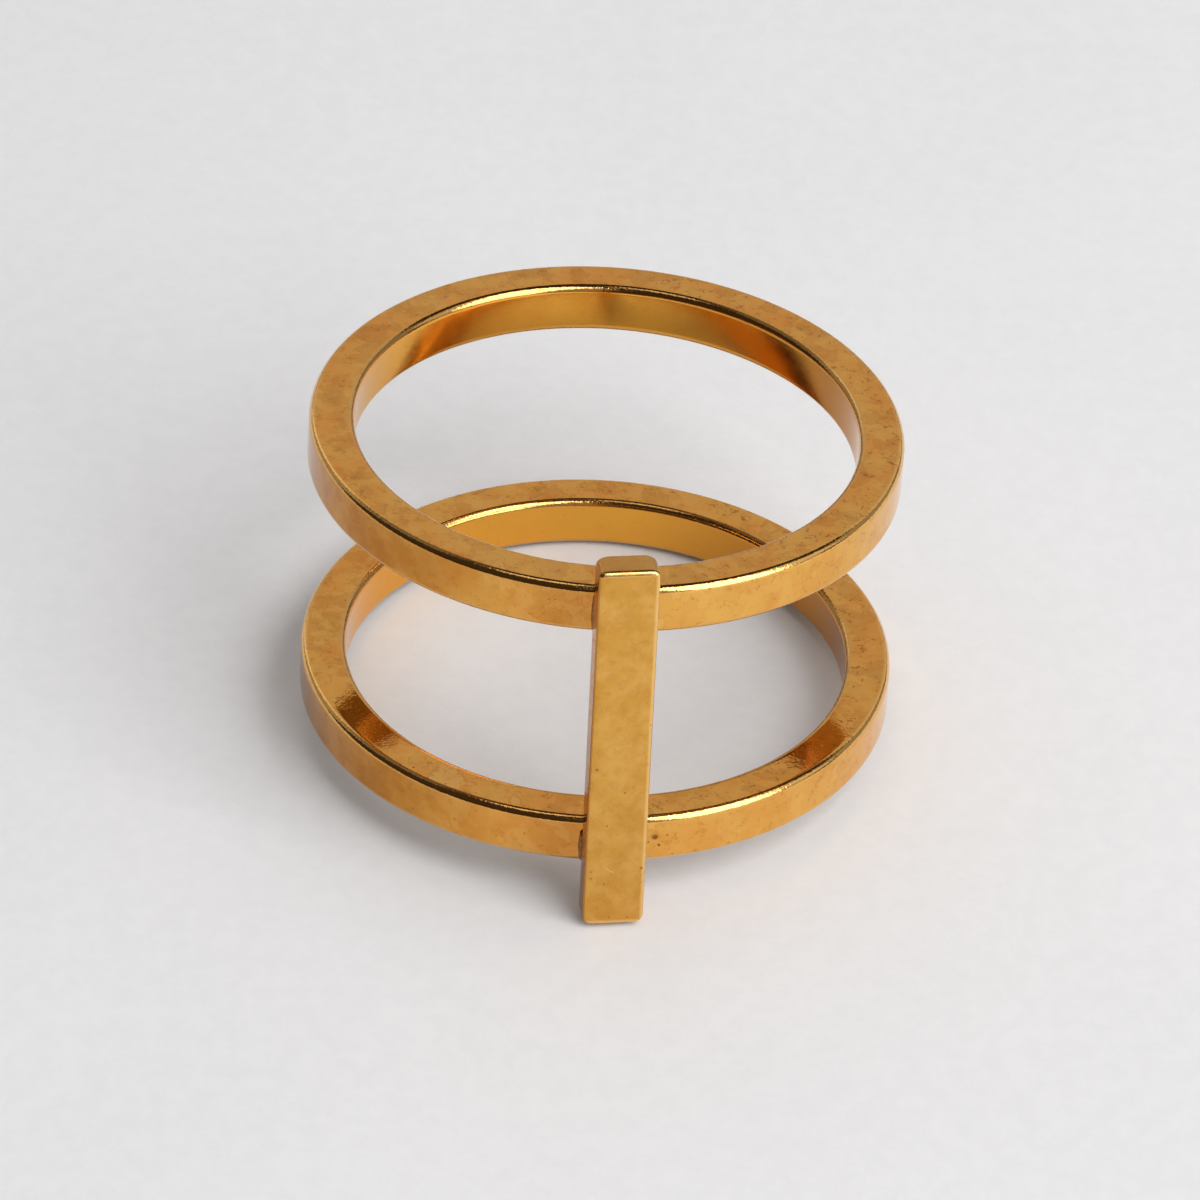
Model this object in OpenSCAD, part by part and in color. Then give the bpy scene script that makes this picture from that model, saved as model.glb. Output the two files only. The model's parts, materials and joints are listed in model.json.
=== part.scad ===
// Bar ring: two round bands of nearly square wire, one above the other, and an upright flat bar.
// The bar is soldered across the front of both bands, and its two ends stand past them.
// All of it is one solid piece of metal. X runs to the wearer's left and right, -Y is the side
// of the bar, and +Z is up. The bar leans back a little from the lower band's own axis, and the
// upper band stands in line with it along the bar. The ring stands by itself on the foot of its
// bar and on the back of its lower band, so it leans back a little more. The surface that it
// stands on is z = 0.

/* [Bands] */
// Inner radius of both bands, half the inside diameter of the ring size
finger_r = 8.65; // [7.8:0.05:9.9]
// Thickness of a band's wall, from the inner face to the outer face
band_t = 1.55; // [1.1:0.05:2.2]
// Height of a band, from its lower to its upper flat
band_h = 1.83; // [1.3:0.01:2.5]
// Rounding along the four edges of a band
band_round = 0.2; // [0.06:0.01:0.3]
// Distance along the bar from the underside of the lower band to the underside of the upper band
band_pitch = 8.87; // [7:0.01:12]
// Degrees that the upper band is closed towards the lower band at the back
upper_close = 1.35; // [0:0.05:2.4]
// Degrees that the upper band dips towards the right
upper_dip = 0.95; // [-1.5:0.05:1.5]

/* [Bar] */
// Width of the bar
bar_w = 2.08; // [1.5:0.02:3]
// Thickness of the bar, from its back to its front face
bar_t = 1.22; // [0.9:0.02:1.8]
// Length of the bar above the middle of the upper band's underside
bar_head = 3.38; // [3:0.01:6]
// Length of the bar below the underside of the lower band
bar_foot = 1.72; // [0.8:0.01:2.6]
// Degrees that the bar leans back from the axis of the lower band
bar_lean = 4; // [0:0.1:5]
// Degrees that the bar is turned on its own long axis
bar_turn = 4.6; // [-5:0.1:5]
// Depth that the outer faces of the bands are let into the back of the bar, half way up a band
bar_seat = 0.15; // [0.12:0.01:0.25]

/* [Bar edges] */
// Rounding of the two upright edges at the front
front_round = 0.15; // [0.08:0.01:0.3]
// Rounding of the two upright edges at the back
back_round = 0.35; // [0.1:0.01:0.42]
// Rounding where the ends meet the front and the back
end_round = 0.18; // [0.06:0.01:0.3]
// Rounding of the two top corners, seen from the front
head_round = 0.24; // [0.08:0.01:0.6]
// Rounding of the two bottom corners, seen from the front
foot_round = 0.35; // [0.08:0.01:0.6]

/* [Hidden] */
$fn = 96;
metal = [0.76, 0.55, 0.27];

outer_r = finger_r + band_t;
bar_len = bar_foot + band_pitch + bar_head;

// Seen from the side, as [y, z]: the way along the bar, and the way square to it towards the back
along = [sin(bar_lean), cos(bar_lean)];
backward = [cos(bar_lean), -sin(bar_lean)];

// The middle of the upper band's underside, and where the middle of the bar passes z = 0
upper_middle = band_pitch * along;
bar_middle = [bar_seat - outer_r - band_h / 2 * tan(bar_lean) - bar_t / 2 / cos(bar_lean), 0];

// How far the lower edges of the bar reach to its back and its front, with the turn of the bar
edge_reach = (bar_t / 2 - end_round) * cos(bar_turn) + (bar_w / 2 - foot_round) * abs(sin(bar_turn));

// The two edges that the ring stands on, seen from the side: centres of their roundings, as [y, z]
foot_edge = bar_middle + edge_reach * backward + (end_round - bar_foot) * along;
rear_edge = [outer_r - band_round, band_round];
stance = rear_edge - foot_edge;
lean = atan2(stance[1], stance[0]) + asin((end_round - band_round) / norm(stance));

// Where a point of the upright ring, as [y, z], comes to lie once the ring leans back
function leaned_y(p) = p[0] * cos(lean) + p[1] * sin(lean);
function leaned_z(p) = p[1] * cos(lean) - p[0] * sin(lean);
floor_z = leaned_z(rear_edge) - band_round;

// The outermost edges at the front and the back: the bar's lower front edge and the upper band's
// top edge
toe_edge = bar_middle - edge_reach * backward + (end_round - bar_foot) * along;
upper_edge = upper_middle + [
    (outer_r - band_round) * cos(upper_close) + (band_h - band_round) * sin(upper_close),
    (band_h - band_round) * cos(upper_close) - (outer_r - band_round) * sin(upper_close)
];
front_y = leaned_y(toe_edge) - end_round;
rear_y = max(leaned_y(upper_edge), leaned_y(rear_edge)) + band_round;
middle_y = (front_y + rear_y) / 2;

// A flat rectangle from the origin, with a rounding of its own at each corner, in the order
// lower left, lower right, upper right, upper left
module rounded_plate(size, rounds) {
    corners = [[0, 0], [size[0], 0], size, [0, size[1]]];
    inward = [[1, 1], [-1, 1], [-1, -1], [1, -1]];
    union() {
        difference() {
            square(size);
            for (i = [0:3])
                translate(corners[i] + inward[i] * rounds[i] / 2)
                    square(rounds[i], center = true);
        }
        for (i = [0:3])
            translate(corners[i] + inward[i] * rounds[i])
                circle(r = rounds[i]);
    }
}

// One band, standing on z = 0 round the Z axis
module band() {
    rotate_extrude()
        translate([finger_r, 0])
            rounded_plate([band_t, band_h], [band_round, band_round, band_round, band_round]);
}

// The bar, with its foot on z = 0, its width along X and its thickness along Y, centred on both.
// It is what its outlines from above, from the front and from the side have in common.
module bar() {
    intersection() {
        translate([-bar_w / 2, -bar_t / 2, 0])
            linear_extrude(bar_len)
                rounded_plate([bar_w, bar_t], [front_round, front_round, back_round, back_round]);
        translate([-bar_w / 2, bar_t / 2, 0])
            rotate([90, 0, 0])
                linear_extrude(bar_t)
                    rounded_plate([bar_w, bar_len], [foot_round, foot_round, head_round, head_round]);
        translate([-bar_w / 2, -bar_t / 2, 0])
            rotate([90, 0, 90])
                linear_extrude(bar_w)
                    rounded_plate([bar_t, bar_len], [end_round, end_round, end_round, end_round]);
    }
}

// The soldered ring, upright, with the underside of its lower band on z = 0
module upright_ring() {
    union() {
        band();
        translate([0, upper_middle[0], upper_middle[1]])
            rotate([-upper_close, upper_dip, 0])
                band();
        translate([0, bar_middle[0], bar_middle[1]])
            rotate([-bar_lean, 0, 0])
                translate([0, 0, -bar_foot])
                    rotate([0, 0, bar_turn])
                        bar();
    }
}

module bar_ring() {
    color(metal)
        translate([0, -middle_y, -floor_z])
            rotate([-lean, 0, 0])
                upright_ring();
}

bar_ring();
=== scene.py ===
"""The looks of the bar ring: two polished bands and an upright bar of lightly tarnished yellow metal.

Everything is in metres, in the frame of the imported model: X across the ring, -Y the side of the
bar, +Z up from the surface that the ring stands on.
"""

import json
import math

import bpy
from mathutils import Matrix, Vector


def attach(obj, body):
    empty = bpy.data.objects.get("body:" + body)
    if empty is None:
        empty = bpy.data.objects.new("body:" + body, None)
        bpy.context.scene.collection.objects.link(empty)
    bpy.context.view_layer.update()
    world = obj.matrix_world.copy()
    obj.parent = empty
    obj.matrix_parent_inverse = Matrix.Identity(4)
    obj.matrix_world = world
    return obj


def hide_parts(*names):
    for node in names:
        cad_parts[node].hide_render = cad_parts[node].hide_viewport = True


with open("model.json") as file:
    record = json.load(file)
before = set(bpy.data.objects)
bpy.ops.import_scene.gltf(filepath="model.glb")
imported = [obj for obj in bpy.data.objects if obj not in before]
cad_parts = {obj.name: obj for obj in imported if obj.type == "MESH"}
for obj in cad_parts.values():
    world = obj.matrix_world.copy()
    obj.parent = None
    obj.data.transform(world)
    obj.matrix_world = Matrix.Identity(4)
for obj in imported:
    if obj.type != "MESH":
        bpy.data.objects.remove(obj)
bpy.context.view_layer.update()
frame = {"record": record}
BORES = {m["name"]: m for m in frame["record"]["mounts"]}

MM = 0.001
UP = Vector((0, 0, 1))

# Metal stock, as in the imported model
FINGER_R = BORES["lower_finger_hole"]["dims"]["r_mm"] * MM
BAND_HEIGHT = BORES["lower_finger_hole"]["dims"]["length_mm"] * MM
BAND_WALL = 1.55 * MM
OUTER_R = FINGER_R + BAND_WALL
# Handling has worn the edges of the bands a little rounder than they were cut
BAND_ROUNDING = 0.26 * MM
BAR_WIDTH = 2.08 * MM
BAR_THICK = 1.22 * MM
BAR_SEAT = 0.15 * MM
BAR_ABOVE_UPPER_UNDERSIDE = 3.38 * MM
BAR_BELOW_LOWER_UNDERSIDE = 1.72 * MM
BAND_PITCH = 8.87 * MM
BAR_LENGTH = BAR_BELOW_LOWER_UNDERSIDE + BAND_PITCH + BAR_ABOVE_UPPER_UNDERSIDE
BAR_LEAN = math.radians(4)
BAR_TURN = math.radians(4.6)
BAR_FRONT_ROUNDING = 0.15 * MM
BAR_BACK_ROUNDING = 0.35 * MM
BAR_END_ROUNDING = 0.18 * MM
BAR_HEAD_CORNER = 0.24 * MM
BAR_FOOT_CORNER = 0.35 * MM

# Handwork draws the faces of the bands in towards their edges, and leaves slight waves
BAND_CROWN = 0.006 * MM
WAVE_HEIGHT = 0.012 * MM
WAVE_SCALE = 350.0
BAND_SEED = 7
BAR_SEED = 9

# Solder left in the creases between the bands and the bar: how far it lies in from the side of
# the bar and out from the band, its radius, and the share of a band's height that it covers
CREASE_INSET = {"left": 0.0, "right": 0.05 * MM}
CREASE_OUT = {"left": 0.08 * MM, "right": 0.03 * MM}
CREASE_BEADS = {"lower_left": 0.13 * MM, "lower_right": 0.07 * MM, "upper_left": 0.09 * MM,
                "upper_right": 0.07 * MM}
CREASE_SPANS = {"lower": (0.08, 0.72), "upper": (0.1, 0.9)}
BEAD_LUMP_SCALE = 6000.0
BEAD_WAVE_HEIGHT = 0.02 * MM
BEAD_WAVE_SCALE = 12000.0
BEAD_SEED = 17

# How finely the shapes are drawn
BAND_STEPS = 480
BAR_STEPS = 160
OUTLINE_STEPS = 80
FLAT_SHARE = 0.3
CREASE_STEPS = 8
BEAD_STEP = 0.03 * MM
BEAD_SIDES = 16
SEAM_WIDTH = 1e-6

# Where the camera stands: its angles round the object, and the point that it looks at
CAMERA_AZIMUTH = math.radians(-5.70655)
CAMERA_ELEVATION = math.radians(40.13032)
CAMERA_ROLL = math.radians(3.86594)
CAMERA_DISTANCE = 373.818 * MM
CAMERA_AIM = Vector((0.2644, 2.3384, 2.7913)) * MM
CAMERA_LENS = 322.606
CAMERA_SENSOR = 36.0
CAMERA_REACH = (0.01, 10)

# The studio: each light's azimuth from the front (positive to the right) and elevation in
# degrees, its distance, width and height in metres, and the radiance of its face
LIGHTS = {
    "key_window": (48, 40, 0.5, 0.36, 0.62, 3.82),
    "window_wing": (82, 38, 0.5, 0.22, 0.5, 0.6),
    "window_sill": (48, 5, 0.6, 0.8, 0.09, 0.6),
    "front_wall": (14, 33, 0.6, 0.26, 0.5, 0.3),
    "back_wall": (175, 27, 0.6, 1.0, 0.5, 0.56),
    "left_wall": (-133, 18, 0.6, 0.41, 0.4, 0.28),
    "left_corner": (-135, 50, 0.6, 0.45, 0.3, 0.15),
    "right_wall": (112, 18, 0.6, 0.4, 0.4, 0.26),
    "ceiling_glow": (-96, 81, 0.6, 0.18, 0.18, 0.9),
}
LIGHT_AIM = Vector((0, 0, 6 * MM))
ROOM_LIGHT = (0.285, 0.276, 0.27, 1)
ROOM_IN_METAL = (0.045, 0.032, 0.024, 1)
FLOOR_HALF = 0.6

scene = bpy.context.scene


# Small helpers for node trees

class Tree:
    """Adds nodes to a node tree and links them, so that a tree reads like a recipe."""

    def __init__(self, tree):
        self.tree = tree

    def add(self, kind, settings=None, **inputs):
        """A new node. Settings are its properties; inputs are values or sockets, by name or number."""
        node = self.tree.nodes.new(kind)
        for name, value in (settings or {}).items():
            setattr(node, name, value)
        for name, value in inputs.items():
            self.feed(node, name, value)
        return node

    def feed(self, node, name, value):
        """Puts a value in a node's input or links a socket to it. A name of i0, i1... is a number."""
        if name[0] == "i" and name[1:].isdigit():
            socket = node.inputs[int(name[1:])]
        else:
            socket = node.inputs[name.replace("_", " ")]
        if isinstance(value, bpy.types.NodeSocket):
            self.tree.links.new(value, socket)
        else:
            socket.default_value = value

    def math(self, operation, first, second=0.0, third=0.0):
        """The result of a sum on up to three numbers."""
        node = self.add("ShaderNodeMath", {"operation": operation}, i0=first, i1=second, i2=third)
        return node.outputs[0]


FLOAT = "NodeSocketFloat"
INT = "NodeSocketInt"
GEOMETRY = "NodeSocketGeometry"
MATERIAL = "NodeSocketMaterial"
VECTOR = "NodeSocketVector"


def new_group(name, kind, inputs, outputs):
    """An empty node group with named sockets. Each socket is (name, socket type, default)."""
    group = bpy.data.node_groups.new(name, kind)
    for label, socket_type, default in inputs:
        socket = group.interface.new_socket(label, in_out="INPUT", socket_type=socket_type)
        if default is not None:
            socket.default_value = default
    for label, socket_type in outputs:
        group.interface.new_socket(label, in_out="OUTPUT", socket_type=socket_type)
    return Tree(group), group.nodes.new("NodeGroupInput").outputs, group.nodes.new("NodeGroupOutput")


def total(t, *values):
    """The sum of several values."""
    result = values[0]
    for value in values[1:]:
        result = t.math("ADD", result, value)
    return result


def product(t, *values):
    """The product of several values."""
    result = values[0]
    for value in values[1:]:
        result = t.math("MULTIPLY", result, value)
    return result


def unlike(t, value):
    """One less the value."""
    return t.math("SUBTRACT", 1.0, value)


def span(t, value, low, high, to_low=0.0, to_high=1.0, steps="LINEAR"):
    """Takes a value from one span to another, held at both ends."""
    node = t.add("ShaderNodeMapRange", {"interpolation_type": steps, "clamp": True},
                 Value=value, From_Min=low, From_Max=high, To_Min=to_low, To_Max=to_high)
    return node.outputs[0]


def between(t, share, at_none, at_full):
    """Goes from one number to another as a share goes from 0 to 1."""
    return span(t, share, 0, 1, at_none, at_full)


def soft_step(t, value, none, full):
    """Rises softly from 0, where the value is none, to 1, where it is full."""
    return span(t, value, none, full, steps="SMOOTHSTEP")


def blend(t, share, first, second):
    """Mixes two colours by a share."""
    node = t.add("ShaderNodeMix", {"data_type": "RGBA"}, i0=share, i6=first, i7=second)
    return node.outputs[2]


def noise(t, place, seed, scale, detail=3.0, rough=0.5):
    """Soft noise round 0.5, the same at each run for a seed."""
    node = t.add("ShaderNodeTexNoise", {"noise_dimensions": "4D"}, Vector=place, W=seed,
                 Scale=scale, Detail=detail, Roughness=rough)
    return node.outputs["Fac"]


# Shapes by Geometry Nodes

SECTION = "section"

PLACING = [("Wave height", FLOAT, 0.0), ("Wave scale", FLOAT, 300.0), ("Seed", FLOAT, 0.0),
           ("Place", VECTOR, None), ("Angles", VECTOR, None), ("Material", MATERIAL, None)]


def held(t, value):
    """A value held between 0 and 1."""
    return t.add("ShaderNodeClamp", None, Value=value).outputs[0]


def chosen(t, is_second, first, second):
    """One of two values, by a share of 0 or 1."""
    return t.add("ShaderNodeMix", None, i0=is_second, i2=first, i3=second).outputs[0]


def bow(t, share):
    """Crowds the points of a flat towards its roundings, and keeps its two ends."""
    return t.math("SINE", t.math("MULTIPLY", share, math.pi / 2))


def rounded_section_group():
    """A point on the outline of a rounded rectangle, at a share of a full turn round it."""
    t, given, out = new_group(
        "rounded section", "GeometryNodeTree",
        [("Turn", FLOAT, 0.0), ("Half across", FLOAT, 1.0), ("Half along", FLOAT, 1.0),
         ("Rounding plus", FLOAT, 0.1), ("Rounding minus", FLOAT, 0.1), ("Flat share", FLOAT, 0.3)],
        [("Across", FLOAT), ("Along", FLOAT)])
    share = given["Flat share"]
    quarter = t.math("PINGPONG", t.math("MULTIPLY", given["Turn"], 4.0), 1.0)
    rest = t.math("SUBTRACT", 1.0, t.math("MULTIPLY", share, 2.0))
    arc = held(t, t.math("DIVIDE", t.math("SUBTRACT", quarter, share), rest))
    arc = t.math("MULTIPLY", arc, math.pi / 2)
    rise = bow(t, held(t, t.math("DIVIDE", quarter, share)))
    fall = held(t, t.math("DIVIDE", t.math("SUBTRACT", 1.0, quarter), share))
    angle = t.math("MULTIPLY", given["Turn"], 2 * math.pi)
    sign_across = t.math("SIGN", t.math("COSINE", angle))
    sign_along = t.math("SIGN", t.math("SINE", angle))
    is_plus = t.math("GREATER_THAN", sign_along, 0.0)
    rounding = chosen(t, is_plus, given["Rounding minus"], given["Rounding plus"])
    flat_across = t.math("SUBTRACT", given["Half across"], rounding)
    flat_along = t.math("SUBTRACT", given["Half along"], rounding)
    across = t.math("MULTIPLY_ADD", flat_across, fall,
                    t.math("MULTIPLY", rounding, t.math("COSINE", arc)))
    along = t.math("MULTIPLY_ADD", flat_along, rise,
                   t.math("MULTIPLY", rounding, t.math("SINE", arc)))
    t.feed(out, "Across", t.math("MULTIPLY", across, sign_across))
    t.feed(out, "Along", t.math("MULTIPLY", along, sign_along))
    return t.tree


def share_of_grid(t, across, along):
    """A grid of points, and each point's share of the way across and along it, from 0 to 1."""
    grid = t.add("GeometryNodeMeshGrid", None, Size_X=1.0, Size_Y=1.0,
                 Vertices_X=t.math("ADD", across, 1.0), Vertices_Y=t.math("ADD", along, 1.0))
    place = t.add("ShaderNodeSeparateXYZ", None,
                  Vector=t.add("GeometryNodeInputPosition").outputs[0])
    return (grid.outputs["Mesh"], t.math("ADD", place.outputs["X"], 0.5),
            t.math("ADD", place.outputs["Y"], 0.5))


def set_out(t, mesh, position, shares):
    """Moves the points of a mesh to their positions, and keeps their shares for the materials.

    The shares run from -1 to 1, from face to face across, along and up.
    """
    across, along, up = shares
    share = t.add("ShaderNodeCombineXYZ", None, X=across, Y=along, Z=up)
    marked = t.add("GeometryNodeStoreNamedAttribute",
                   {"data_type": "FLOAT_VECTOR", "domain": "POINT"},
                   Geometry=mesh, Name=SECTION, Value=share.outputs[0])
    x, y, z = position
    place = t.add("ShaderNodeCombineXYZ", None, X=x, Y=y, Z=z)
    moved = t.add("GeometryNodeSetPosition", None, Geometry=marked.outputs[0],
                  Position=place.outputs[0])
    return moved.outputs[0]


def finish_tree(t, given, out, mesh):
    """Closes seams and poles, waves the faces, moves the shape to its place and ends the tree."""
    merged = t.add("GeometryNodeMergeByDistance", None, Geometry=mesh, Distance=SEAM_WIDTH)
    wave = noise(t, t.add("GeometryNodeInputPosition").outputs[0], given["Seed"],
                 given["Wave scale"], 1.0)
    swing = t.math("MULTIPLY", t.math("SUBTRACT", wave, 0.5), given["Wave height"])
    push = t.add("ShaderNodeVectorMath", {"operation": "SCALE"},
                 Vector=t.add("GeometryNodeInputNormal").outputs[0], Scale=swing)
    waved = t.add("GeometryNodeSetPosition", None, Geometry=merged.outputs[0],
                  Offset=push.outputs[0])
    turn = t.add("FunctionNodeEulerToRotation", None, Euler=given["Angles"])
    placed = t.add("GeometryNodeTransform", None, Geometry=waved.outputs[0],
                   Translation=given["Place"], Rotation=turn.outputs[0])
    smooth = t.add("GeometryNodeSetShadeSmooth", None, Geometry=placed.outputs[0])
    real = t.add("GeometryNodeRealizeInstances", None, Geometry=smooth.outputs[0])
    dressed = t.add("GeometryNodeSetMaterial", None, Geometry=real.outputs[0],
                    Material=given["Material"])
    t.feed(out, "Geometry", dressed.outputs[0])
    return t.tree


def crowned(t, value, own_share, other_share, crown):
    """Draws a face in by the crown towards its edges, as hand polishing does."""
    fall = t.math("POWER", t.math("ABSOLUTE", other_share), 6.0)
    return t.math("SUBTRACT", value, product(t, fall, crown, own_share))


def band_tree(section):
    """A round band: the outline of its wire carried round the finger."""
    t, given, out = new_group(
        "band of wire", "GeometryNodeTree",
        [("Geometry", GEOMETRY, None), ("Finger radius", FLOAT, 0.008), ("Wall", FLOAT, 0.001),
         ("Height", FLOAT, 0.001), ("Rounding", FLOAT, 0.0001), ("Crown", FLOAT, 0.0),
         ("Steps round", INT, 360), ("Steps of outline", INT, 80)] + PLACING,
        [("Geometry", GEOMETRY)])
    mesh, turn, way_round = share_of_grid(t, given["Steps of outline"], given["Steps round"])
    half_wall = t.math("MULTIPLY", given["Wall"], 0.5)
    half_height = t.math("MULTIPLY", given["Height"], 0.5)
    outline = t.add("GeometryNodeGroup", {"node_tree": section}, Turn=turn,
                    Half_across=half_wall, Half_along=half_height,
                    Rounding_plus=given["Rounding"], Rounding_minus=given["Rounding"],
                    Flat_share=FLAT_SHARE).outputs
    across_share = t.math("DIVIDE", outline["Across"], half_wall)
    along_share = t.math("DIVIDE", outline["Along"], half_height)
    across = crowned(t, outline["Across"], across_share, along_share, given["Crown"])
    along = crowned(t, outline["Along"], along_share, across_share, given["Crown"])
    radius = total(t, given["Finger radius"], half_wall, across)
    angle = t.math("MULTIPLY", way_round, -2 * math.pi)
    x = t.math("MULTIPLY", radius, t.math("COSINE", angle))
    y = t.math("MULTIPLY", radius, t.math("SINE", angle))
    band = set_out(t, mesh, (x, y, along), (across_share, along_share, 0.0))
    return finish_tree(t, given, out, band)


def bar_tree(section):
    """The upright bar: a rounded section drawn in at both ends and closed at two poles."""
    t, given, out = new_group(
        "bar with rounded ends", "GeometryNodeTree",
        [("Geometry", GEOMETRY, None), ("Width", FLOAT, 0.002), ("Thickness", FLOAT, 0.001),
         ("Length", FLOAT, 0.014), ("Front rounding", FLOAT, 0.0002),
         ("Back rounding", FLOAT, 0.0003), ("End rounding", FLOAT, 0.0002),
         ("Head corner", FLOAT, 0.0002), ("Foot corner", FLOAT, 0.0004),
         ("Steps along", INT, 120), ("Steps of outline", INT, 80)] + PLACING,
        [("Geometry", GEOMETRY)])
    mesh, turn, way_up = share_of_grid(t, given["Steps of outline"], given["Steps along"])
    half_width = t.math("MULTIPLY", given["Width"], 0.5)
    half_thick = t.math("MULTIPLY", given["Thickness"], 0.5)
    half_length = t.math("MULTIPLY", given["Length"], 0.5)
    # The side view is half an outline, from the pole of the foot to the pole of the head
    side_turn = t.math("MULTIPLY_ADD", way_up, 0.5, -0.25)
    side = t.add("GeometryNodeGroup", {"node_tree": section},
                 Turn=t.math("ADD", side_turn, 1.0), Half_across=half_width,
                 Half_along=half_length, Rounding_plus=given["Head corner"],
                 Rounding_minus=given["Foot corner"], Flat_share=FLAT_SHARE)
    width, height = side.outputs["Across"], side.outputs["Along"]
    # On the caps the whole section shrinks to the pole by the same share
    is_head = t.math("GREATER_THAN", height, 0.0)
    corner = chosen(t, is_head, given["Foot corner"], given["Head corner"])
    cap = t.math("MINIMUM", t.math("DIVIDE", width, t.math("SUBTRACT", half_width, corner)), 1.0)
    end = given["End rounding"]
    to_end = t.math("SUBTRACT", half_length, t.math("ABSOLUTE", height))
    inside = t.math("MAXIMUM", t.math("SUBTRACT", end, to_end), 0.0)
    square = t.math("SUBTRACT", product(t, end, end), product(t, inside, inside))
    bulge = t.math("SQRT", t.math("MAXIMUM", square, 0.0))
    thick = t.math("MULTIPLY_ADD", t.math("SUBTRACT", half_thick, end), cap, bulge)
    outline = t.add("GeometryNodeGroup", {"node_tree": section}, Turn=turn,
                    Half_across=width, Half_along=thick,
                    Rounding_plus=t.math("MULTIPLY", given["Back rounding"], cap),
                    Rounding_minus=t.math("MULTIPLY", given["Front rounding"], cap),
                    Flat_share=FLAT_SHARE)
    across, along = outline.outputs["Across"], outline.outputs["Along"]
    shares = (t.math("DIVIDE", across, half_width), t.math("DIVIDE", along, half_thick),
              t.math("DIVIDE", height, half_length))
    bar = set_out(t, mesh, (across, along, height), shares)
    return finish_tree(t, given, out, bar)


def bead_tree():
    """A lumpy bead of solder along a line of points, thickest half way along it."""
    t, given, out = new_group(
        "bead of solder", "GeometryNodeTree",
        [("Geometry", GEOMETRY, None), ("Bead radius", FLOAT, 0.0001), ("Step", FLOAT, 0.00003),
         ("Lump scale", FLOAT, 6000.0)] + PLACING,
        [("Geometry", GEOMETRY)])
    line = t.add("GeometryNodeMeshToCurve", None, Mesh=given["Geometry"])
    fine = t.add("GeometryNodeResampleCurve", {"mode": "LENGTH"}, Curve=line.outputs[0],
                 Length=given["Step"])
    share = t.add("GeometryNodeSplineParameter").outputs["Factor"]
    arch = t.math("MAXIMUM", t.math("SINE", t.math("MULTIPLY", share, math.pi)), 0.02)
    lumps = noise(t, t.add("GeometryNodeInputPosition").outputs[0], given["Seed"],
                  given["Lump scale"], 2.0)
    size = product(t, given["Bead radius"], t.math("POWER", arch, 0.4), t.math("ADD", lumps, 0.5))
    profile = t.add("GeometryNodeCurvePrimitiveCircle", None, Resolution=BEAD_SIDES, Radius=1.0)
    tube = t.add("GeometryNodeCurveToMesh", None, Curve=fine.outputs[0],
                 Profile_Curve=profile.outputs[0], Scale=size, Fill_Caps=True)
    return finish_tree(t, given, out, tube.outputs[0])


def made(name, tree, points=(), **inputs):
    """The mesh that a Geometry Nodes tree makes from these named inputs, as a plain object.

    The tree starts from a line through the points, if there are any.
    """
    host = bpy.data.objects.new(name + "_host", bpy.data.meshes.new(name + "_host"))
    host.data.from_pydata(list(points), [(i, i + 1) for i in range(len(points) - 1)], [])
    scene.collection.objects.link(host)
    modifier = host.modifiers.new("maker", "NODES")
    modifier.node_group = tree
    sockets = {s.name: s.identifier for s in tree.interface.items_tree if s.in_out == "INPUT"}
    for label, value in inputs.items():
        modifier[sockets[label.replace("_", " ")]] = value
    bpy.context.view_layer.update()
    graph = bpy.context.evaluated_depsgraph_get()
    mesh = bpy.data.meshes.new_from_object(host.evaluated_get(graph))
    mesh.name = name
    piece = bpy.data.objects.new(name, mesh)
    scene.collection.objects.link(piece)
    bpy.data.objects.remove(host)
    return piece


# Materials

# Painted sheen for the right outside of the bands
SHEEN_PAINT = (0.94, 0.52, 0.12, 1)
INNER = (0.86, 0.415, 0.057, 1)
EDGE = (0.93, 0.55, 0.18, 1)
# Wear, and also the painted highlight on the right edge of the bar
WEAR_AND_HIGHLIGHT = (1.0, 0.64, 0.24, 1)
TAN = (0.83, 0.425, 0.092, 1)
PALE = (0.93, 0.53, 0.15, 1)
# Stains, and also painted shade inside the bands and on the sides of the bar
STAIN_AND_SHADE = (0.40, 0.125, 0.018, 1)
# Painted shade for the undersides and inner edges of the bands
SHADE_UNDER_PAINT = (0.24, 0.13, 0.042, 1)
# Painted shade for the left outside of the bands
OUTSIDE_SHADE_PAINT = (0.31, 0.095, 0.006, 1)
ORANGE = (0.82, 0.335, 0.06, 1)
BAR_TAN = (0.73, 0.375, 0.07, 1)
BAR_PALE = (0.81, 0.445, 0.105, 1)
PIT = (0.22, 0.085, 0.02, 1)
OXIDE = (0.30, 0.20, 0.10, 1)
PAPER_SHADE = (0.76, 0.76, 0.77, 1)
PAPER_WHITE = (0.82, 0.82, 0.83, 1)
PAPER_ROUGHNESS = 0.85
PAPER_CLOUDS = {"seed": 21.0, "scale": 90.0, "detail": 3.0}
PAPER_TOOTH = {"seed": 22.0, "scale": 1100.0, "detail": 4.0, "rough": 0.7}

# The wear on each finish, for the tarnish, pits and hairlines groups. Scales are in cells per
# metre, and the wander of a hairline is in metres.
BAND_WEAR = (
    {"Seed": 1.0, "Cloud_scale": 520.0, "Mottle_scale": 1700.0, "Grain_scale": 9000.0},
    {"Scale": 3000.0, "Share": 0.3, "Size": 0.16},
    {"Seed": 2.0, "Scale": 1500.0, "Width": 0.03, "Wander": 0.0006})
BAR_WEAR = (
    {"Seed": 11.0, "Cloud_scale": 900.0, "Mottle_scale": 2600.0, "Grain_scale": 8000.0},
    {"Scale": 2200.0, "Share": 0.35, "Size": 0.12},
    {"Seed": 12.0, "Scale": 900.0, "Width": 0.02, "Wander": 0.0006})
SOLDER_WEAR = (
    {"Seed": 31.0, "Cloud_scale": 2500.0, "Mottle_scale": 9000.0, "Grain_scale": 24000.0},
    {"Scale": 14000.0, "Share": 0.7, "Size": 0.35})

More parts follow.
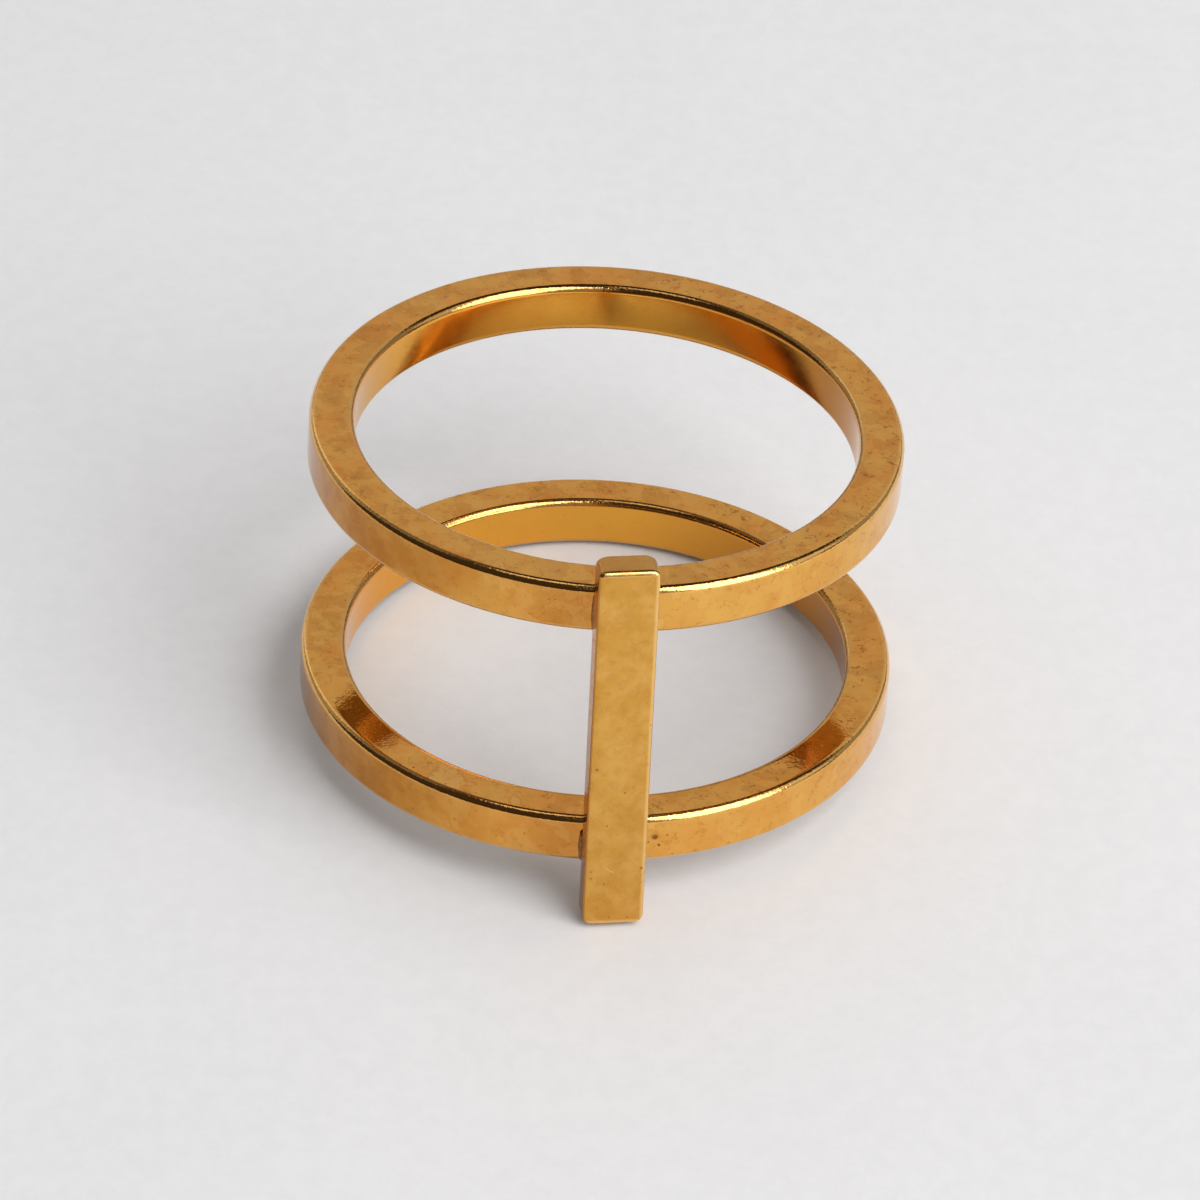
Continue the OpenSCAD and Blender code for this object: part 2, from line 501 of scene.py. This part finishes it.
# Single marks on the metal, as x, y, z and size in millimetres
BAND_NICKS = ((1.443, -10.027, 2.745, 0.15), (1.598, -10.034, 2.389, 0.08),
              (1.853, -9.957, 2.775, 0.05), (1.212, -10.074, 2.56, 0.05))
BAR_NICKS = ((0.239, -10.775, 5.385, 0.06), (-0.317, -11.019, 4.117, 0.06),
             (-0.784, -11.339, 2.322, 0.05), (-0.772, -11.382, 2.043, 0.05),
             (0.918, -11.192, 2.375, 0.07), (-0.753, -10.704, 6.35, 0.08),
             (1.003, -10.286, 7.995, 0.05), (-0.091, -11.565, 0.47, 0.05),
             (0.526, -11.52, 0.44, 0.05))
# How far noise shifts the outline of a mark, and the share of the mark that is flat
NICK_RAG = 0.08 * MM
NICK_RAG_SCALE = 9000.0
NICK_FLOOR = 0.3

# One short scratch, through points in millimetres, drawn as a row of marks
BAR_SCRATCH = ((-0.313, -11.280, 2.452), (-0.137, -11.286, 2.322), (0.003, -11.288, 2.234))
SCRATCH_STEPS = 5
SCRATCH_SIZE = 0.035


def tarnish_group():
    """Tarnish from 0 to 1: clouds, mottling, dried stains and their rims, fine curls, and grain."""
    t, given, out = new_group(
        "tarnish", "ShaderNodeTree",
        [("Place", VECTOR, None), ("Seed", FLOAT, 0.0), ("Cloud scale", FLOAT, 350.0),
         ("Mottle scale", FLOAT, 1500.0), ("Grain scale", FLOAT, 9000.0)],
        [("Clouds", FLOAT), ("Mottle", FLOAT), ("Stains", FLOAT), ("Rims", FLOAT),
         ("Curls", FLOAT), ("Grain", FLOAT)])

    def layer(seed_step, scale, share, detail, rough):
        """Noise of its own, at a share of one of the given scales."""
        seed = t.math("ADD", given["Seed"], seed_step)
        return noise(t, given["Place"], seed, t.math("MULTIPLY", given[scale], share), detail, rough)

    def ridge(value, middle, width):
        """A line where the value passes a middle, as wide as this to each side."""
        away = t.math("ABSOLUTE", t.math("SUBTRACT", value, middle))
        return span(t, away, 0.0, width, 1.0, 0.0)

    clouds = layer(0.0, "Cloud scale", 1.0, 4.0, 0.6)
    mottle = layer(3.1, "Mottle scale", 1.0, 4.0, 0.62)
    stains = layer(5.9, "Mottle scale", 0.5, 4.0, 0.55)
    grain = layer(6.7, "Grain scale", 1.0, 2.0, 0.6)
    curls = layer(8.3, "Mottle scale", 1.5, 1.0, 0.5)
    gaps = layer(9.7, "Mottle scale", 3.2, 1.0, 0.5)
    broken = soft_step(t, mottle, 0.47, 0.56)
    dashes = soft_step(t, gaps, 0.45, 0.55)
    t.feed(out, "Clouds", soft_step(t, clouds, 0.38, 0.64))
    t.feed(out, "Mottle", soft_step(t, mottle, 0.42, 0.66))
    t.feed(out, "Stains", soft_step(t, stains, 0.515, 0.555))
    t.feed(out, "Rims", ridge(stains, 0.53, 0.022))
    t.feed(out, "Curls", product(t, ridge(curls, 0.5, 0.04), broken, dashes))
    t.feed(out, "Grain", soft_step(t, grain, 0.34, 0.66))
    return t.tree


def pits_group():
    """Small round pits of several sizes, left out of most cells."""
    t, given, out = new_group(
        "pits", "ShaderNodeTree",
        [("Place", VECTOR, None), ("Scale", FLOAT, 3000.0), ("Share", FLOAT, 0.3),
         ("Size", FLOAT, 0.2)],
        [("Pits", FLOAT)])
    cells = t.add("ShaderNodeTexVoronoi", {"feature": "F1"}, Vector=given["Place"],
                  Scale=given["Scale"])
    dice = t.add("ShaderNodeSeparateColor", None, Color=cells.outputs["Color"])
    size = t.math("MULTIPLY", given["Size"], t.math("ADD", dice.outputs["Green"], 0.25))
    dent = span(t, cells.outputs["Distance"], 0.0, size, 1.0, 0.0)
    kept = t.math("LESS_THAN", dice.outputs["Red"], given["Share"])
    t.feed(out, "Pits", t.math("MULTIPLY", dent, kept))
    return t.tree


def hairlines_group():
    """Fine wandering scratches, broken up so that none runs on for long."""
    t, given, out = new_group(
        "hairlines", "ShaderNodeTree",
        [("Place", VECTOR, None), ("Seed", FLOAT, 0.0), ("Scale", FLOAT, 700.0),
         ("Width", FLOAT, 0.02), ("Wander", FLOAT, 0.0004)],
        [("Lines", FLOAT)])
    wander = t.add("ShaderNodeTexNoise", {"noise_dimensions": "4D"},
                   Vector=given["Place"], W=given["Seed"],
                   Scale=t.math("MULTIPLY", given["Scale"], 2.5), Detail=2.0)
    step = t.add("ShaderNodeCombineXYZ", None, X=given["Wander"], Y=given["Wander"],
                 Z=given["Wander"])
    shift = t.add("ShaderNodeVectorMath", {"operation": "MULTIPLY_ADD"},
                  i0=wander.outputs["Color"], i1=step.outputs[0], i2=given["Place"])
    cells = t.add("ShaderNodeTexVoronoi", {"feature": "DISTANCE_TO_EDGE"},
                  Vector=shift.outputs[0], Scale=given["Scale"])
    line = span(t, cells.outputs["Distance"], 0.0, given["Width"], 1.0, 0.0)
    broken = noise(t, given["Place"], t.math("ADD", given["Seed"], 9.3),
                   t.math("MULTIPLY", given["Scale"], 1.7), 2.0)
    kept = soft_step(t, broken, 0.52, 0.62)
    t.feed(out, "Lines", t.math("MULTIPLY", line, kept))
    return t.tree


TARNISH = tarnish_group()
PITS = pits_group()
HAIRLINES = hairlines_group()


def new_material(name, metallic):
    """A material, its tree, its shader and the place on the object."""
    material = bpy.data.materials.new(name)
    material.use_nodes = True
    t = Tree(material.node_tree)
    shader = material.node_tree.nodes["Principled BSDF"]
    shader.inputs["Metallic"].default_value = metallic
    return material, t, shader, t.add("ShaderNodeTexCoord").outputs["Object"]


def section_shares(t):
    """A point's shares of the way from the middle to the faces, as its mesh keeps them."""
    shares = t.add("ShaderNodeAttribute", {"attribute_name": SECTION})
    return t.add("ShaderNodeSeparateXYZ", None, Vector=shares.outputs["Vector"]).outputs


def wear(t, place, sizes):
    """What the tarnish, pits and hairlines groups put out for these sizes."""
    return [t.add("ShaderNodeGroup", {"node_tree": group}, Place=place, **given).outputs
            for group, given in zip((TARNISH, PITS, HAIRLINES), sizes)]


def painted(t, colour, layers):
    """Paints layers over a colour. Each is a paint, and the shares whose product is its strength."""
    for paint, *shares in layers:
        colour = blend(t, product(t, *shares), colour, paint)
    return colour


def finish(t, shader, colour, rough, height):
    """Gives a shader its colour, its roughness, and relief from a height in millimetres."""
    bump = t.add("ShaderNodeBump", None, Strength=1.0, Distance=MM, Height=height)
    t.feed(shader, "Base Color", colour)
    t.feed(shader, "Roughness", rough)
    t.feed(shader, "Normal", bump.outputs[0])


def nicks(t, place, marks):
    """A mask of single marks, each with a ragged edge."""
    ragged = t.add("ShaderNodeTexNoise", None, Vector=place, Scale=NICK_RAG_SCALE, Detail=2.0)
    shift = t.add("ShaderNodeVectorMath", {"operation": "MULTIPLY_ADD"},
                  i0=ragged.outputs["Color"], i1=(NICK_RAG,) * 3, i2=place)
    mask = None
    for x, y, z, size in marks:
        middle = Vector((x, y, z)) * MM + Vector((NICK_RAG / 2,) * 3)
        away = t.add("ShaderNodeVectorMath", {"operation": "DISTANCE"}, i0=shift.outputs[0],
                     i1=middle)
        dent = soft_step(t, away.outputs["Value"], size * MM, NICK_FLOOR * size * MM)
        mask = dent if mask is None else t.math("MAXIMUM", mask, dent)
    return mask


def along_line(points, steps, size):
    """Marks of one size, close together along the line through the points."""
    marks = []
    for first, second in zip(points, points[1:]):
        for k in range(steps):
            marks.append((*Vector(first).lerp(Vector(second), k / steps), size))
    return marks


def band_faces(t, across, along):
    """Masks of a band's rounded edges, and of its inside, outside, top and underside."""
    flat_across = 1 - BAND_ROUNDING / (BAND_WALL / 2)
    flat_along = 1 - BAND_ROUNDING / (BAND_HEIGHT / 2)
    edge = product(t, soft_step(t, t.math("ABSOLUTE", across), flat_across, 0.9),
                   soft_step(t, t.math("ABSOLUTE", along), flat_along, 0.92))
    face = unlike(t, edge)
    inner = product(t, soft_step(t, across, -flat_across, -0.97), face)
    outer = product(t, soft_step(t, across, flat_across, 0.97), face)
    top = product(t, soft_step(t, along, flat_along, 0.96), face)
    under = product(t, soft_step(t, along, -flat_along, -0.96), face)
    return edge, inner, outer, top, under


def band_brass():
    """Polished brass, tarnished on top and outside, finger-worn clean inside, painted with shade and
    sheen.
    """
    material, t, shader, place = new_material("band_brass", 1.0)
    share = section_shares(t)
    edge, inner, outer, top, under = band_faces(t, share["X"], share["Y"])
    tarnish, pits, lines = wear(t, place, BAND_WEAR)
    clouds, mottle, stains, rims, curls, grain = (
        tarnish[k] for k in ("Clouds", "Mottle", "Stains", "Rims", "Curls", "Grain"))
    spot = t.add("ShaderNodeSeparateXYZ", None, Vector=place)
    side, depth = spot.outputs["X"], spot.outputs["Y"]
    at_front = soft_step(t, depth, -5 * MM, -8 * MM)
    near_bar = soft_step(t, t.math("ABSOLUTE", side), 4.2 * MM, 1.6 * MM)
    left_of_bar = soft_step(t, side, 0.0, -1 * MM)
    heat = product(t, near_bar, at_front)
    # Flux has dried in stains with a darker outline: outside near the joints, and on top left
    # of the bar
    stained = product(t, outer, between(t, heat, 0.3, 0.55))
    dried = product(t, top, at_front, soft_step(t, side, -1.5 * MM, -4 * MM))
    # Painted sheen brightens the right front of the outside; painted shade darkens the left
    painted_sheen_right = product(t, soft_step(t, side, -0.5 * MM, 3 * MM),
                     span(t, side, 5 * MM, 9 * MM, 1.0, 0.5), between(t, clouds, 1.0, 0.5))
    painted_shade_left = product(t, soft_step(t, side, -2 * MM, -9 * MM), 0.72)
    # Painted shade on the inside of the right side
    painted_shade_inside_right = soft_step(t, side, 1.5 * MM, 7 * MM)
    # Painted shade on the inner edges, dimming their reflection of the inside
    inner_edge = soft_step(t, share["X"], 0.0, -0.5)
    # Painted shade on the undersides, most of all on the left
    painted_shade_under_left = span(t, side, -5 * MM, 5 * MM, 1.0, 0.74)
    # The finger keeps the inside smoother, and the top of the right side carries most curls
    calm = between(t, inner, 1.0, 0.3)
    curled = span(t, side, -4 * MM, 8 * MM, 0.45, 0.9)
    marks = t.math("MAXIMUM", product(t, curls, between(t, top, 0.4, 1.0), curled),
                   product(t, lines["Lines"], between(t, top, 0.55, 0.5)))
    marks = product(t, marks, calm)
    spots = t.math("MAXIMUM", product(t, pits["Pits"], between(t, top, 0.75, 0.85)),
                   nicks(t, place, BAND_NICKS))
    spots = product(t, spots, calm)
    colour = painted(t, TAN, (
        (ORANGE, clouds, between(t, top, 0.55, 0.8)),
        (STAIN_AND_SHADE, mottle, between(t, top, 0.16, 0.18)),
        (STAIN_AND_SHADE, stains, top, 0.2),
        (STAIN_AND_SHADE, rims, top, 0.16),
        (PALE, stains, stained),
        (PALE, stains, dried, 0.5),
        (STAIN_AND_SHADE, rims, dried, 0.2),
        # Painted sheen on the right outside, and painted shade on the left outside
        (SHEEN_PAINT, painted_sheen_right, outer, 0.7),
        (OUTSIDE_SHADE_PAINT, painted_shade_left, outer, between(t, clouds, 0.7, 1.0)),
        (ORANGE, rims, stained, 0.6),
        (STAIN_AND_SHADE, heat, outer, left_of_bar, 0.5),
        (INNER, inner, 0.9),
        # Painted shade inside on the right
        (STAIN_AND_SHADE, inner, painted_shade_inside_right, 0.6),
        # Painted shade on the undersides
        (SHADE_UNDER_PAINT, under, painted_shade_under_left),
        (EDGE, edge, 0.9),
        # Painted shade on the inner edges
        (SHADE_UNDER_PAINT, edge, inner_edge, 0.35),
        (STAIN_AND_SHADE, marks),
        (PIT, spots, 0.9)))
    rough = total(
        t, 0.03, product(t, mottle, 0.02), product(t, outer, 0.04),
        product(t, inner, between(t, clouds, 0.06, 0.12)), product(t, edge, 0.07),
        product(t, grain, 0.02), product(t, marks, 0.1))
    height = total(
        t, product(t, mottle, calm, 0.0008),
        product(t, grain, between(t, edge, 0.0004, 0.0025), calm),
        product(t, spots, -0.006), product(t, marks, calm, -0.0012))
    finish(t, shader, colour, rough, height)
    return material


def bar_brass():
    """The bar: satin front with soft mottling, worn ends, painted highlight and shade, a few deeper
    pits.
    """
    material, t, shader, place = new_material("bar_brass", 1.0)
    share = section_shares(t)
    across, along, up = (t.math("ABSOLUTE", share[k]) for k in "XYZ")
    flat_along = 1 - BAR_FRONT_ROUNDING / (BAR_THICK / 2)
    near_end = soft_step(t, up, 0.968, 0.985)
    near_face = soft_step(t, along, flat_along, 0.94)
    off_face = unlike(t, near_face)
    lower_end = soft_step(t, share["Z"], 0.4, -1.0)
    # Painted highlight on the right edge and painted shade on the left; hands rub the ends bright
    painted_highlight_right_edge = soft_step(t, share["X"], 0.82, 0.93)
    painted_shade_left_edge = soft_step(t, share["X"], -0.93, -0.97)
    edge = product(t, near_face, t.math("MAXIMUM", painted_highlight_right_edge, near_end), unlike(t, painted_shade_left_edge))
    # Painted shade on the sides of the bar and along its left edge
    side = t.math("MAXIMUM", painted_shade_left_edge, product(t, soft_step(t, across, 0.9, 0.99), off_face))
    tarnish, pits, lines = wear(t, place, BAR_WEAR)
    clouds, mottle, curls, grain = (tarnish[k] for k in ("Clouds", "Mottle", "Curls", "Grain"))
    spots = t.math("MAXIMUM", product(t, pits["Pits"], 0.6),
                   product(t, nicks(t, place, BAR_NICKS), 0.8))
    scratch = nicks(t, place, along_line(BAR_SCRATCH, SCRATCH_STEPS, SCRATCH_SIZE))
    colour = painted(t, BAR_TAN, (
        (BAR_PALE, clouds),
        (STAIN_AND_SHADE, mottle, 0.14),
        (STAIN_AND_SHADE, lower_end, 0.1),
        (STAIN_AND_SHADE, near_end, off_face, 0.3),
        # Painted shade on the sides
        (STAIN_AND_SHADE, side, 0.6),
        # Painted highlight on the right edge, and wear on the ends
        (WEAR_AND_HIGHLIGHT, edge, 0.75),
        (STAIN_AND_SHADE, curls, 0.15),
        (WEAR_AND_HIGHLIGHT, scratch, 0.6),
        (PIT, spots, 0.8)))
    rough = total(t, 0.2, product(t, mottle, 0.08), product(t, lines["Lines"], 0.1))
    height = total(
        t, product(t, mottle, 0.0014), product(t, grain, 0.0003), product(t, spots, -0.006),
        product(t, lines["Lines"], -0.002))
    finish(t, shader, colour, rough, height)
    return material


def solder(name, dark):
    """Solder left in a crease: from the colour of brass, at 0, to a dark and porous skin, at 1."""
    material, t, shader, place = new_material(name, 1.0)
    tarnish, pits = wear(t, place, SOLDER_WEAR)
    ground = tuple(d * dark + b * (1 - dark) for d, b in zip(OXIDE, TAN))
    colour = painted(t, ground, (
        (STAIN_AND_SHADE, tarnish["Mottle"], between(t, dark, 0.3, 0.8)),
        (PIT, pits["Pits"], dark)))
    rough = total(t, 0.15 + 0.35 * dark, product(t, tarnish["Mottle"], 0.1))
    height = total(t, product(t, tarnish["Grain"], 0.003), product(t, pits["Pits"], -0.02))
    finish(t, shader, colour, rough, height)
    return material


def paper():
    """Pale paper with soft clouds and a fine tooth."""
    material, t, shader, place = new_material("pale_paper", 0.0)
    clouds = noise(t, place, **PAPER_CLOUDS)
    tooth = noise(t, place, **PAPER_TOOTH)
    tone = total(t, 0.25, product(t, soft_step(t, clouds, 0.3, 0.7), 0.25),
                 product(t, soft_step(t, tooth, 0.35, 0.65), 0.4))
    colour = blend(t, tone, PAPER_SHADE, PAPER_WHITE)
    finish(t, shader, colour, PAPER_ROUGHNESS, t.math("MULTIPLY", tooth, 0.02))
    return material


# The ring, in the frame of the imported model

def band_place(name):
    """Where the lower or the upper band stands: its middle, its underside and its turn."""
    bore = BORES[name + "_finger_hole"]
    middle, axis = Vector(bore["pos_m"]), Vector(bore["axis"])
    if axis.z < 0:
        axis = -axis
    return middle, middle - axis * BAND_HEIGHT / 2, UP.rotation_difference(axis)


def bar_place():
    """Where the bar stands: its middle and its turn.

    It leans back from the lower band's axis and is let into its outer face at mid-height.
    """
    _, underside, lean = band_place("lower")
    leaned = Matrix.Rotation(-BAR_LEAN, 3, "X")
    foot_y = (BAR_SEAT - OUTER_R - BAND_HEIGHT / 2 * math.tan(BAR_LEAN)
              - BAR_THICK / 2 / math.cos(BAR_LEAN))
    middle_up = BAR_LENGTH / 2 - BAR_BELOW_LOWER_UNDERSIDE
    middle = Vector((0, foot_y, 0)) + leaned @ Vector((0, 0, middle_up))
    turned = lean.to_matrix() @ leaned @ Matrix.Rotation(BAR_TURN, 3, "Z")
    return underside + lean @ middle, turned


def crease_lines():
    """The lines where a band's outer face meets the side of the bar, from below to above."""
    lines = {}
    for band, (low, high) in CREASE_SPANS.items():
        _, underside, turned = band_place(band)
        heights = [BAND_HEIGHT * (low + (high - low) * k / CREASE_STEPS)
                   for k in range(CREASE_STEPS + 1)]
        for side, sign in (("left", -1), ("right", 1)):
            x = sign * (BAR_WIDTH / 2 - CREASE_INSET[side])
            y = -math.sqrt(OUTER_R ** 2 - x ** 2) - CREASE_OUT[side]
            lines[band + "_" + side] = [underside + turned @ Vector((x, y, z)) for z in heights]
    return lines


def build_ring():
    """The two bands, the bar and the solder in the creases."""
    section = rounded_section_group()
    waves = {"Wave_height": WAVE_HEIGHT, "Wave_scale": WAVE_SCALE}
    pieces = []
    band, metal = band_tree(section), band_brass()
    for number, name in enumerate(("lower", "upper")):
        middle, _, turned = band_place(name)
        pieces.append(made(
            name + "_band", band, Finger_radius=FINGER_R, Wall=BAND_WALL, Height=BAND_HEIGHT,
            Rounding=BAND_ROUNDING, Crown=BAND_CROWN, Steps_round=BAND_STEPS,
            Steps_of_outline=OUTLINE_STEPS, Seed=float(BAND_SEED + number), Place=middle,
            Angles=Vector(turned.to_euler()), Material=metal, **waves))
    middle, turned = bar_place()
    pieces.append(made(
        "bar", bar_tree(section), Width=BAR_WIDTH, Thickness=BAR_THICK, Length=BAR_LENGTH,
        Front_rounding=BAR_FRONT_ROUNDING, Back_rounding=BAR_BACK_ROUNDING,
        End_rounding=BAR_END_ROUNDING, Head_corner=BAR_HEAD_CORNER,
        Foot_corner=BAR_FOOT_CORNER, Steps_along=BAR_STEPS, Steps_of_outline=OUTLINE_STEPS,
        Seed=float(BAR_SEED), Place=middle, Angles=Vector(turned.to_euler()),
        Material=bar_brass(), **waves))
    bead = bead_tree()
    solders = {"left": solder("dark_solder", 1.0), "right": solder("bright_solder", 0.0)}
    for number, (name, points) in enumerate(crease_lines().items()):
        pieces.append(made(
            "solder_" + name, bead, points=points, Bead_radius=CREASE_BEADS[name],
            Step=BEAD_STEP, Lump_scale=BEAD_LUMP_SCALE, Wave_height=BEAD_WAVE_HEIGHT,
            Wave_scale=BEAD_WAVE_SCALE, Seed=float(BEAD_SEED + number),
            Material=solders[name.split("_")[1]]))
    return pieces


# The studio

def direction(azimuth, elevation):
    """The way out at this azimuth, from the front and positive to the right, and elevation."""
    return Vector((math.sin(azimuth) * math.cos(elevation),
                   -math.cos(azimuth) * math.cos(elevation), math.sin(elevation)))


def place_camera():
    """A long lens at the photograph's angle, rolled a little."""
    data = bpy.data.cameras.new("camera")
    data.lens = CAMERA_LENS
    data.sensor_width = CAMERA_SENSOR
    data.clip_start, data.clip_end = CAMERA_REACH
    camera = bpy.data.objects.new("camera", data)
    scene.collection.objects.link(camera)
    back = direction(CAMERA_AZIMUTH, CAMERA_ELEVATION)
    level = UP.cross(back).normalized()
    axes = Matrix((level, back.cross(level), back)).transposed()
    axes = axes @ Matrix.Rotation(CAMERA_ROLL, 3, "Z")
    camera.matrix_world = Matrix.Translation(CAMERA_AIM + back * CAMERA_DISTANCE) @ axes.to_4x4()
    scene.camera = camera


def soft_light(name, azimuth, elevation, distance, width, height, radiance):
    """A flat soft light that faces the ring."""
    away = direction(math.radians(azimuth), math.radians(elevation))
    data = bpy.data.lights.new(name, "AREA")
    data.shape = "RECTANGLE"
    data.size = width
    data.size_y = height
    data.energy = radiance * math.pi * width * height
    light = bpy.data.objects.new(name, data)
    scene.collection.objects.link(light)
    light.location = LIGHT_AIM + away * distance
    light.rotation_euler = away.to_track_quat("Z", "Y").to_euler()


def light_studio():
    """A large window at the right front, with its wing and sill, and dim walls all round.

    The front left is left dark, for the thin dark line along the front left edges.
    """
    for name, settings in LIGHTS.items():
        soft_light(name, *settings)
    world = bpy.data.worlds.new("studio")
    world.use_nodes = True
    scene.world = world
    # Polished metal sees a dark room, and the paper still gets its soft light
    t = Tree(world.node_tree)
    path = t.add("ShaderNodeLightPath")
    room = blend(t, path.outputs["Is Glossy Ray"], ROOM_LIGHT, ROOM_IN_METAL)
    t.feed(world.node_tree.nodes["Background"], "Color", room)


def lay_floor():
    """The sheet of pale paper that the ring stands on."""
    mesh = bpy.data.meshes.new("paper_floor")
    corners = [(x * FLOOR_HALF, y * FLOOR_HALF, 0) for x, y in ((-1, -1), (1, -1), (1, 1), (-1, 1))]
    mesh.from_pydata(corners, [], [(0, 1, 2, 3)])
    mesh.materials.append(paper())
    floor = bpy.data.objects.new("paper_floor", mesh)
    scene.collection.objects.link(floor)


pieces = build_ring()
place_camera()
light_studio()
lay_floor()
for piece in pieces:
    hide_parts("bar_ring")
    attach(piece, "root")
scene.view_settings.view_transform = "Standard"
